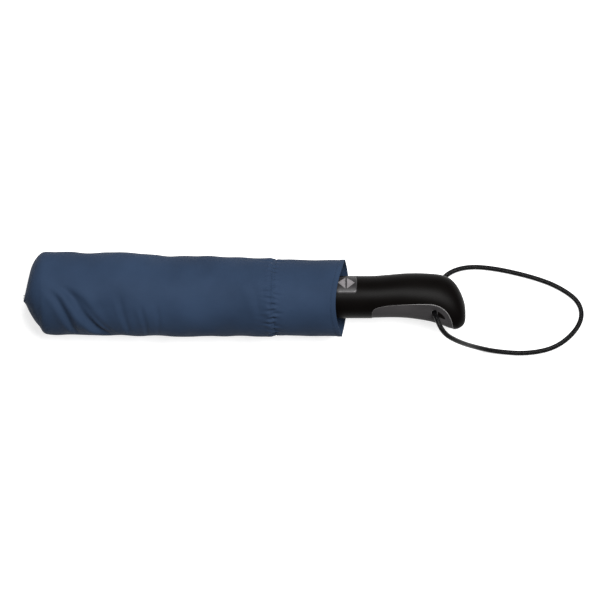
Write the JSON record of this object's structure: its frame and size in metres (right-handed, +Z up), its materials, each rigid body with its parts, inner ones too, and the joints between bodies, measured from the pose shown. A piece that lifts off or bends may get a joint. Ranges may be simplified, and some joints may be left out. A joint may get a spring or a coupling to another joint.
{
  "type": "folding umbrella",
  "caption": "Compact automatic umbrella in its elasticated fabric sheath, with telescopic shaft, folding rib frame, pleated canopy, push-button beak handle and wrist cord",
  "frame": {"origin": "middle of the base of the umbrella as it lies on its sheath, without the wrist cord", "axes": "+X along the shaft towards the handle, +Y to the side the button leans to, +Z up from the surface it lies on"},
  "size_m": [0.3622, 0.0651, 0.0521],
  "materials": {
    "sheath_fabric": "navy woven polyester",
    "canopy_fabric": "navy coated pongee",
    "elastic": "woven elastic tape",
    "handle_black": "satin black",
    "grip_grey": "soft dark grey",
    "button_grey": "metallic grey",
    "cord_black": "braided black cord",
    "black_plastic": "moulded black",
    "tube_steel": "black lacquer",
    "tube_bright": "zinc plated",
    "rib_steel": "black lacquer",
    "rib_aluminium": "drawn",
    "rib_fibreglass": "fibreglass, black",
    "wire_steel": "spring wire"
  },
  "bodies": {
    "handle": {"handle_shell": "handle_black", "grip_insert": "grip_grey", "lower_tube": "tube_steel", "main_spring": "wire_steel", "button_spring": "wire_steel", "wrist_cord": "cord_black", "cord_joint": "black_plastic"},
    "button": {"push_button": "button_grey"},
    "latch": {"latch_lever": "black_plastic"},
    "middle_tube": {"middle_tube": "tube_bright"},
    "crown": {"crown": "black_plastic", "upper_tube": "tube_bright", "ferrule_cap": "black_plastic", "canopy": "canopy_fabric", "closure_strap": "canopy_fabric"},
    "sheath": {"sheath": "sheath_fabric", "sheath_elastic": "elastic"},
    "runner": {"runner": "black_plastic"},
    "top_rib_1": {"top_rib_1": "rib_steel"},
    "stretcher_1": {"stretcher_1": "rib_steel"},
    "connecting_rod_1": {"connecting_rod_1": "wire_steel"},
    "middle_rib_1": {"middle_rib_1": "rib_aluminium"},
    "spring_rod_1": {"spring_rod_1": "wire_steel"},
    "outer_rib_1": {"outer_rib_1": "rib_fibreglass"},
    "top_rib_2": {"top_rib_2": "rib_steel"},
    "stretcher_2": {"stretcher_2": "rib_steel"},
    "connecting_rod_2": {"connecting_rod_2": "wire_steel"},
    "middle_rib_2": {"middle_rib_2": "rib_aluminium"},
    "spring_rod_2": {"spring_rod_2": "wire_steel"},
    "outer_rib_2": {"outer_rib_2": "rib_fibreglass"},
    "top_rib_3": {"top_rib_3": "rib_steel"},
    "stretcher_3": {"stretcher_3": "rib_steel"},
    "connecting_rod_3": {"connecting_rod_3": "wire_steel"},
    "middle_rib_3": {"middle_rib_3": "rib_aluminium"},
    "spring_rod_3": {"spring_rod_3": "wire_steel"},
    "outer_rib_3": {"outer_rib_3": "rib_fibreglass"},
    "top_rib_4": {"top_rib_4": "rib_steel"},
    "stretcher_4": {"stretcher_4": "rib_steel"},
    "connecting_rod_4": {"connecting_rod_4": "wire_steel"},
    "middle_rib_4": {"middle_rib_4": "rib_aluminium"},
    "spring_rod_4": {"spring_rod_4": "wire_steel"},
    "outer_rib_4": {"outer_rib_4": "rib_fibreglass"},
    "top_rib_5": {"top_rib_5": "rib_steel"},
    "stretcher_5": {"stretcher_5": "rib_steel"},
    "connecting_rod_5": {"connecting_rod_5": "wire_steel"},
    "middle_rib_5": {"middle_rib_5": "rib_aluminium"},
    "spring_rod_5": {"spring_rod_5": "wire_steel"},
    "outer_rib_5": {"outer_rib_5": "rib_fibreglass"},
    "top_rib_6": {"top_rib_6": "rib_steel"},
    "stretcher_6": {"stretcher_6": "rib_steel"},
    "connecting_rod_6": {"connecting_rod_6": "wire_steel"},
    "middle_rib_6": {"middle_rib_6": "rib_aluminium"},
    "spring_rod_6": {"spring_rod_6": "wire_steel"},
    "outer_rib_6": {"outer_rib_6": "rib_fibreglass"},
    "canopy_inner_left": {"canopy_inner_left": "canopy_fabric"},
    "canopy_inner_right": {"canopy_inner_right": "canopy_fabric"},
    "canopy_middle_left": {"canopy_middle_left": "canopy_fabric"},
    "canopy_middle_right": {"canopy_middle_right": "canopy_fabric"},
    "canopy_outer_left": {"canopy_outer_left": "canopy_fabric"},
    "canopy_outer_right": {"canopy_outer_right": "canopy_fabric"}
  },
  "joints": [
    {"name": "button_push", "type": "slide", "parent": "handle", "child": "button", "axis": [0, -0.6428, -0.766], "range_m": [0, 0.0015], "stiffness_N_per_m": 400, "springref_m": -0.002, "deforming": ["button_spring"]},
    {"name": "latch_rock", "type": "hinge", "parent": "handle", "child": "latch", "pos_m": [0.0545, 0.0063, 0.03241], "axis": [0, 0.766, -0.6428], "range_deg": [-0.2, 6.8]},
    {"name": "shaft_extend", "type": "slide", "parent": "handle", "child": "middle_tube", "axis": [-1, 0, 0], "range_m": [0, 0.135], "deforming": ["main_spring"]},
    {"name": "upper_extend", "type": "slide", "parent": "middle_tube", "child": "crown", "axis": [-1, 0, 0], "range_m": [0, 0.1355]},
    {"name": "sheath_off", "type": "slide", "parent": "crown", "child": "sheath", "axis": [-1, 0, 0], "range_m": [0, 0.205]},
    {"name": "frame_open", "type": "hinge", "parent": "crown", "child": "top_rib_1", "pos_m": [-0.1245, 0, 0.0349], "axis": [0, -1, 0], "range_deg": [0, 78], "deforming": ["canopy", "closure_strap", "sheath", "sheath_elastic", "canopy_inner_left", "canopy_inner_right", "canopy_middle_left", "canopy_middle_right", "canopy_outer_left", "canopy_outer_right"]},
    {"name": "stretcher_1_fold", "type": "hinge", "parent": "top_rib_1", "child": "stretcher_1", "pos_m": [-0.0445, 0, 0.0349], "axis": [0, -1, 0], "range_deg": [-156.6, 0.6]},
    {"name": "connecting_rod_1_turn", "type": "hinge", "parent": "stretcher_1", "child": "connecting_rod_1", "pos_m": [-0.03963, 0, 0.03604], "axis": [0, -1, 0], "range_deg": [-0.6, 156.6]},
    {"name": "middle_rib_1_fold", "type": "hinge", "parent": "top_rib_1", "child": "middle_rib_1", "pos_m": [0.0435, 0, 0.03895], "axis": [0, -1, 0], "range_deg": [-186.6, 0.6]},
    {"name": "outer_rib_1_fold", "type": "hinge", "parent": "middle_rib_1", "child": "outer_rib_1", "pos_m": [-0.1225, 0, 0.04165], "axis": [0, -1, 0], "range_deg": [-0.6, 168.6]},
    {"name": "spring_rod_1_turn", "type": "hinge", "parent": "outer_rib_1", "child": "spring_rod_1", "pos_m": [-0.11722, 0, 0.04031], "axis": [0, -1, 0], "range_deg": [-168.8, 0.6]},
    {"name": "top_rib_2_open", "type": "hinge", "parent": "crown", "child": "top_rib_2", "pos_m": [-0.1245, -0.00866, 0.0299], "axis": [0, -0.5, -0.866], "range_deg": [-0.5, 78.5]},
    {"name": "stretcher_2_fold", "type": "hinge", "parent": "top_rib_2", "child": "stretcher_2", "pos_m": [-0.0445, -0.00866, 0.0299], "axis": [0, -0.5, -0.866], "range_deg": [-156.6, 0.6]},
    {"name": "connecting_rod_2_turn", "type": "hinge", "parent": "stretcher_2", "child": "connecting_rod_2", "pos_m": [-0.03963, -0.00965, 0.03047], "axis": [0, -0.5, -0.866], "range_deg": [-0.6, 156.6]},
    {"name": "middle_rib_2_fold", "type": "hinge", "parent": "top_rib_2", "child": "middle_rib_2", "pos_m": [0.0435, -0.01217, 0.03193], "axis": [0, -0.5, -0.866], "range_deg": [-186.6, 0.6]},
    {"name": "outer_rib_2_fold", "type": "hinge", "parent": "middle_rib_2", "child": "outer_rib_2", "pos_m": [-0.1225, -0.01451, 0.03327], "axis": [0, -0.5, -0.866], "range_deg": [-0.6, 168.6]},
    {"name": "spring_rod_2_turn", "type": "hinge", "parent": "outer_rib_2", "child": "spring_rod_2", "pos_m": [-0.11722, -0.01335, 0.03261], "axis": [0, -0.5, -0.866], "range_deg": [-168.8, 0.6]},
    {"name": "top_rib_3_open", "type": "hinge", "parent": "crown", "child": "top_rib_3", "pos_m": [-0.1245, -0.00866, 0.0199], "axis": [0, 0.5, -0.866], "range_deg": [-0.5, 78.5]},
    {"name": "stretcher_3_fold", "type": "hinge", "parent": "top_rib_3", "child": "stretcher_3", "pos_m": [-0.0445, -0.00866, 0.0199], "axis": [0, 0.5, -0.866], "range_deg": [-156.6, 0.6]},
    {"name": "connecting_rod_3_turn", "type": "hinge", "parent": "stretcher_3", "child": "connecting_rod_3", "pos_m": [-0.03963, -0.00965, 0.01933], "axis": [0, 0.5, -0.866], "range_deg": [-0.6, 156.6]},
    {"name": "middle_rib_3_fold", "type": "hinge", "parent": "top_rib_3", "child": "middle_rib_3", "pos_m": [0.0435, -0.01217, 0.01787], "axis": [0, 0.5, -0.866], "range_deg": [-186.6, 0.6]},
    {"name": "outer_rib_3_fold", "type": "hinge", "parent": "middle_rib_3", "child": "outer_rib_3", "pos_m": [-0.1225, -0.01451, 0.01653], "axis": [0, 0.5, -0.866], "range_deg": [-0.6, 168.6]},
    {"name": "spring_rod_3_turn", "type": "hinge", "parent": "outer_rib_3", "child": "spring_rod_3", "pos_m": [-0.11722, -0.01335, 0.01719], "axis": [0, 0.5, -0.866], "range_deg": [-168.8, 0.6]},
    {"name": "top_rib_4_open", "type": "hinge", "parent": "crown", "child": "top_rib_4", "pos_m": [-0.1245, 0, 0.0149], "axis": [0, 1, 0], "range_deg": [-0.5, 78.5]},
    {"name": "stretcher_4_fold", "type": "hinge", "parent": "top_rib_4", "child": "stretcher_4", "pos_m": [-0.0445, 0, 0.0149], "axis": [0, 1, 0], "range_deg": [-156.6, 0.6]},
    {"name": "connecting_rod_4_turn", "type": "hinge", "parent": "stretcher_4", "child": "connecting_rod_4", "pos_m": [-0.03963, 0, 0.01376], "axis": [0, 1, 0], "range_deg": [-0.6, 156.6]},
    {"name": "middle_rib_4_fold", "type": "hinge", "parent": "top_rib_4", "child": "middle_rib_4", "pos_m": [0.0435, 0, 0.01085], "axis": [0, 1, 0], "range_deg": [-186.6, 0.6]},
    {"name": "outer_rib_4_fold", "type": "hinge", "parent": "middle_rib_4", "child": "outer_rib_4", "pos_m": [-0.1225, 0, 0.00815], "axis": [0, 1, 0], "range_deg": [-0.6, 168.6]},
    {"name": "spring_rod_4_turn", "type": "hinge", "parent": "outer_rib_4", "child": "spring_rod_4", "pos_m": [-0.11722, 0, 0.00949], "axis": [0, 1, 0], "range_deg": [-168.8, 0.6]},
    {"name": "top_rib_5_open", "type": "hinge", "parent": "crown", "child": "top_rib_5", "pos_m": [-0.1245, 0.00866, 0.0199], "axis": [0, 0.5, 0.866], "range_deg": [-0.5, 78.5]},
    {"name": "stretcher_5_fold", "type": "hinge", "parent": "top_rib_5", "child": "stretcher_5", "pos_m": [-0.0445, 0.00866, 0.0199], "axis": [0, 0.5, 0.866], "range_deg": [-156.6, 0.6]},
    {"name": "connecting_rod_5_turn", "type": "hinge", "parent": "stretcher_5", "child": "connecting_rod_5", "pos_m": [-0.03963, 0.00965, 0.01933], "axis": [0, 0.5, 0.866], "range_deg": [-0.6, 156.6]},
    {"name": "middle_rib_5_fold", "type": "hinge", "parent": "top_rib_5", "child": "middle_rib_5", "pos_m": [0.0435, 0.01217, 0.01787], "axis": [0, 0.5, 0.866], "range_deg": [-186.6, 0.6]},
    {"name": "outer_rib_5_fold", "type": "hinge", "parent": "middle_rib_5", "child": "outer_rib_5", "pos_m": [-0.1225, 0.01451, 0.01653], "axis": [0, 0.5, 0.866], "range_deg": [-0.6, 168.6]},
    {"name": "spring_rod_5_turn", "type": "hinge", "parent": "outer_rib_5", "child": "spring_rod_5", "pos_m": [-0.11722, 0.01335, 0.01719], "axis": [0, 0.5, 0.866], "range_deg": [-168.8, 0.6]},
    {"name": "top_rib_6_open", "type": "hinge", "parent": "crown", "child": "top_rib_6", "pos_m": [-0.1245, 0.00866, 0.0299], "axis": [0, -0.5, 0.866], "range_deg": [-0.5, 78.5]},
    {"name": "stretcher_6_fold", "type": "hinge", "parent": "top_rib_6", "child": "stretcher_6", "pos_m": [-0.0445, 0.00866, 0.0299], "axis": [0, -0.5, 0.866], "range_deg": [-156.6, 0.6]},
    {"name": "connecting_rod_6_turn", "type": "hinge", "parent": "stretcher_6", "child": "connecting_rod_6", "pos_m": [-0.03963, 0.00965, 0.03047], "axis": [0, -0.5, 0.866], "range_deg": [-0.6, 156.6]},
    {"name": "middle_rib_6_fold", "type": "hinge", "parent": "top_rib_6", "child": "middle_rib_6", "pos_m": [0.0435, 0.01217, 0.03193], "axis": [0, -0.5, 0.866], "range_deg": [-186.6, 0.6]},
    {"name": "outer_rib_6_fold", "type": "hinge", "parent": "middle_rib_6", "child": "outer_rib_6", "pos_m": [-0.1225, 0.01451, 0.03327], "axis": [0, -0.5, 0.866], "range_deg": [-0.6, 168.6]},
    {"name": "spring_rod_6_turn", "type": "hinge", "parent": "outer_rib_6", "child": "spring_rod_6", "pos_m": [-0.11722, 0.01335, 0.03261], "axis": [0, -0.5, 0.866], "range_deg": [-168.8, 0.6]},
    {"name": "runner_level", "type": "hinge", "parent": "stretcher_1", "child": "runner", "pos_m": [0.0355, 0, 0.0349], "axis": [0, -1, 0], "range_deg": [-0.5, 78.5]},
    {"name": "canopy_inner_left_spread", "type": "hinge", "parent": "top_rib_1", "child": "canopy_inner_left", "pos_m": [-0.13428, 0, 0.03282], "axis": [0.2079, 0, -0.9781], "range_deg": [-0.3, 179.9]},
    {"name": "canopy_inner_right_spread", "type": "hinge", "parent": "top_rib_1", "child": "canopy_inner_right", "pos_m": [-0.13428, 0, 0.03282], "axis": [-0.2079, 0, 0.9781], "range_deg": [-0.3, 179.9]},
    {"name": "canopy_middle_left_spread", "type": "hinge", "parent": "middle_rib_1", "child": "canopy_middle_left", "pos_m": [0.21967, 0, 0.06363], "axis": [-0.309, 0, 0.9511], "range_deg": [-0.3, 179.9]},
    {"name": "canopy_middle_right_spread", "type": "hinge", "parent": "middle_rib_1", "child": "canopy_middle_right", "pos_m": [0.21967, 0, 0.06363], "axis": [0.309, 0, -0.9511], "range_deg": [-0.3, 179.9]},
    {"name": "canopy_outer_left_spread", "type": "hinge", "parent": "outer_rib_1", "child": "canopy_outer_left", "pos_m": [-0.45262, 0, -0.05099], "axis": [0.5, 0, -0.866], "range_deg": [-0.3, 179.9]},
    {"name": "canopy_outer_right_spread", "type": "hinge", "parent": "outer_rib_1", "child": "canopy_outer_right", "pos_m": [-0.45262, 0, -0.05099], "axis": [-0.5, 0, 0.866], "range_deg": [-0.3, 179.9]}
  ],
  "couplings": [
    {"joint": "latch_rock", "follows": "button_push", "rad_per_m": 76},
    {"joint": "upper_extend", "follows": "shaft_extend", "ratio": 1},
    {"joint": "stretcher_1_fold", "follows": "frame_open", "ratio": -2},
    {"joint": "connecting_rod_1_turn", "follows": "frame_open", "ratio": 2},
    {"joint": "middle_rib_1_fold", "follows": "frame_open", "ratio": -2.3846},
    {"joint": "outer_rib_1_fold", "follows": "frame_open", "ratio": 2.1538},
    {"joint": "spring_rod_1_turn", "follows": "frame_open", "ratio": -2.155},
    {"joint": "top_rib_2_open", "follows": "frame_open", "ratio": 1},
    {"joint": "stretcher_2_fold", "follows": "frame_open", "ratio": -2},
    {"joint": "connecting_rod_2_turn", "follows": "frame_open", "ratio": 2},
    {"joint": "middle_rib_2_fold", "follows": "frame_open", "ratio": -2.3846},
    {"joint": "outer_rib_2_fold", "follows": "frame_open", "ratio": 2.1538},
    {"joint": "spring_rod_2_turn", "follows": "frame_open", "ratio": -2.155},
    {"joint": "top_rib_3_open", "follows": "frame_open", "ratio": 1},
    {"joint": "stretcher_3_fold", "follows": "frame_open", "ratio": -2},
    {"joint": "connecting_rod_3_turn", "follows": "frame_open", "ratio": 2},
    {"joint": "middle_rib_3_fold", "follows": "frame_open", "ratio": -2.3846},
    {"joint": "outer_rib_3_fold", "follows": "frame_open", "ratio": 2.1538},
    {"joint": "spring_rod_3_turn", "follows": "frame_open", "ratio": -2.155},
    {"joint": "top_rib_4_open", "follows": "frame_open", "ratio": 1},
    {"joint": "stretcher_4_fold", "follows": "frame_open", "ratio": -2},
    {"joint": "connecting_rod_4_turn", "follows": "frame_open", "ratio": 2},
    {"joint": "middle_rib_4_fold", "follows": "frame_open", "ratio": -2.3846},
    {"joint": "outer_rib_4_fold", "follows": "frame_open", "ratio": 2.1538},
    {"joint": "spring_rod_4_turn", "follows": "frame_open", "ratio": -2.155},
    {"joint": "top_rib_5_open", "follows": "frame_open", "ratio": 1},
    {"joint": "stretcher_5_fold", "follows": "frame_open", "ratio": -2},
    {"joint": "connecting_rod_5_turn", "follows": "frame_open", "ratio": 2},
    {"joint": "middle_rib_5_fold", "follows": "frame_open", "ratio": -2.3846},
    {"joint": "outer_rib_5_fold", "follows": "frame_open", "ratio": 2.1538},
    {"joint": "spring_rod_5_turn", "follows": "frame_open", "ratio": -2.155},
    {"joint": "top_rib_6_open", "follows": "frame_open", "ratio": 1},
    {"joint": "stretcher_6_fold", "follows": "frame_open", "ratio": -2},
    {"joint": "connecting_rod_6_turn", "follows": "frame_open", "ratio": 2},
    {"joint": "middle_rib_6_fold", "follows": "frame_open", "ratio": -2.3846},
    {"joint": "outer_rib_6_fold", "follows": "frame_open", "ratio": 2.1538},
    {"joint": "spring_rod_6_turn", "follows": "frame_open", "ratio": -2.155},
    {"joint": "runner_level", "follows": "frame_open", "ratio": 1},
    {"joint": "canopy_inner_left_spread", "follows": "frame_open", "ratio": 2.3026},
    {"joint": "canopy_inner_right_spread", "follows": "frame_open", "ratio": 2.3026},
    {"joint": "canopy_middle_left_spread", "follows": "frame_open", "ratio": 2.3026},
    {"joint": "canopy_middle_right_spread", "follows": "frame_open", "ratio": 2.3026},
    {"joint": "canopy_outer_left_spread", "follows": "frame_open", "ratio": 2.3026},
    {"joint": "canopy_outer_right_spread", "follows": "frame_open", "ratio": 2.3026}
  ]
}
